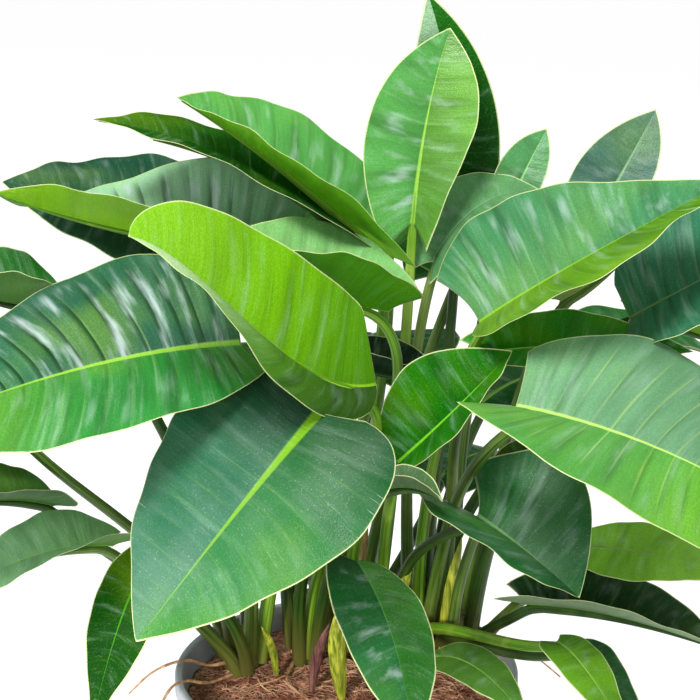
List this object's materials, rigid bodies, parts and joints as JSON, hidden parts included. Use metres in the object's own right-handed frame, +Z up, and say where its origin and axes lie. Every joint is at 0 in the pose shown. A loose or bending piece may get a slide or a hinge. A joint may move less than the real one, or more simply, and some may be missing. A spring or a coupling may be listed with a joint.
{
  "type": "potted foliage plant",
  "caption": "Potted foliage plant: a clump of large pointed oval leaves on long stalks in a round tapered pot. Stands on a floor or table as greenery.",
  "frame": {"origin": "middle of the pot's underside, on the surface it stands on", "axes": "+Z up; -Y towards the side seen in the picture; +X to that viewer's right"},
  "size_m": [0.8, 0.6146, 0.841],
  "materials": {
    "leaf_lime": "waxy, semi-gloss, bright lime green new leaf",
    "leaf_fresh": "waxy, semi-gloss, fresh green",
    "leaf_mid": "waxy, semi-gloss, mid green",
    "leaf_deep": "waxy, satin, deep green with a pale margin",
    "leaf_blue": "satin, deep blue-green",
    "leaf_grey": "satin, grey-green, seen from below",
    "leaf_pale": "matte, pale olive underside",
    "stem": "olive and brown, fibrous",
    "root": "pale brown, thin, matte",
    "dry_sheath": "dry papery tan",
    "pot": "moulded, light grey, satin",
    "soil": "coarse brown coir, matte"
  },
  "bodies": {
    "root": {"pot": "pot", "soil": "soil", "stem_left": "stem", "stem_mid_left": "stem", "stem_centre": "stem", "stem_mid_right": "stem", "stem_right": "stem", "stem_rear": "stem", "leaf_young_lime": "leaf_lime", "leaf_left_middle": "leaf_fresh", "leaf_upper_left": "leaf_fresh", "leaf_upper_left_dark": "leaf_deep", "leaf_upper_left_small": "leaf_pale", "leaf_left_shaded": "leaf_blue", "leaf_left_arching": "leaf_fresh", "leaf_left_broad": "leaf_mid", "leaf_front_broad": "leaf_deep", "leaf_left_outer": "leaf_deep", "leaf_left_low_far": "leaf_deep", "leaf_left_low": "leaf_mid", "leaf_left_hanging": "leaf_deep", "leaf_front_hanging": "leaf_mid", "leaf_top_upright": "leaf_fresh", "leaf_top_behind": "leaf_deep", "leaf_top_small": "leaf_mid", "leaf_top_grey": "leaf_grey", "leaf_top_right": "leaf_grey", "leaf_right_large": "leaf_fresh", "leaf_right_under": "leaf_mid", "leaf_right_ribbed": "leaf_mid", "leaf_right_shaded": "leaf_blue", "leaf_right_narrow": "leaf_deep", "leaf_right_inner": "leaf_pale", "leaf_centre_bright": "leaf_fresh", "leaf_front_right": "leaf_deep", "leaf_right_beneath": "leaf_pale", "leaf_right_low_pale": "leaf_pale", "leaf_right_low_dark": "leaf_deep", "leaf_right_low_bright": "leaf_fresh", "leaf_right_low_small": "leaf_deep", "leaf_front_small": "leaf_fresh", "leaf_centre_dark": "leaf_blue", "leaf_centre_curled": "leaf_deep", "leaf_rear_left_high": "leaf_mid", "leaf_rear_left_low": "leaf_deep", "leaf_rear_far_left": "leaf_mid", "leaf_rear_high": "leaf_fresh", "leaf_rear_middle": "leaf_deep", "leaf_rear_right_high": "leaf_mid", "leaf_rear_right_low": "leaf_deep", "leaf_rear_far_right": "leaf_mid", "leaf_rear_low_left": "leaf_mid", "leaf_rear_low_right": "leaf_deep", "dry_sheath_front": "dry_sheath", "dry_sheath_right": "dry_sheath", "root_left_over_rim": "root", "root_left_drooping": "root", "root_front_on_soil": "root", "root_right_over_rim": "root"}
  },
  "joints": []
}
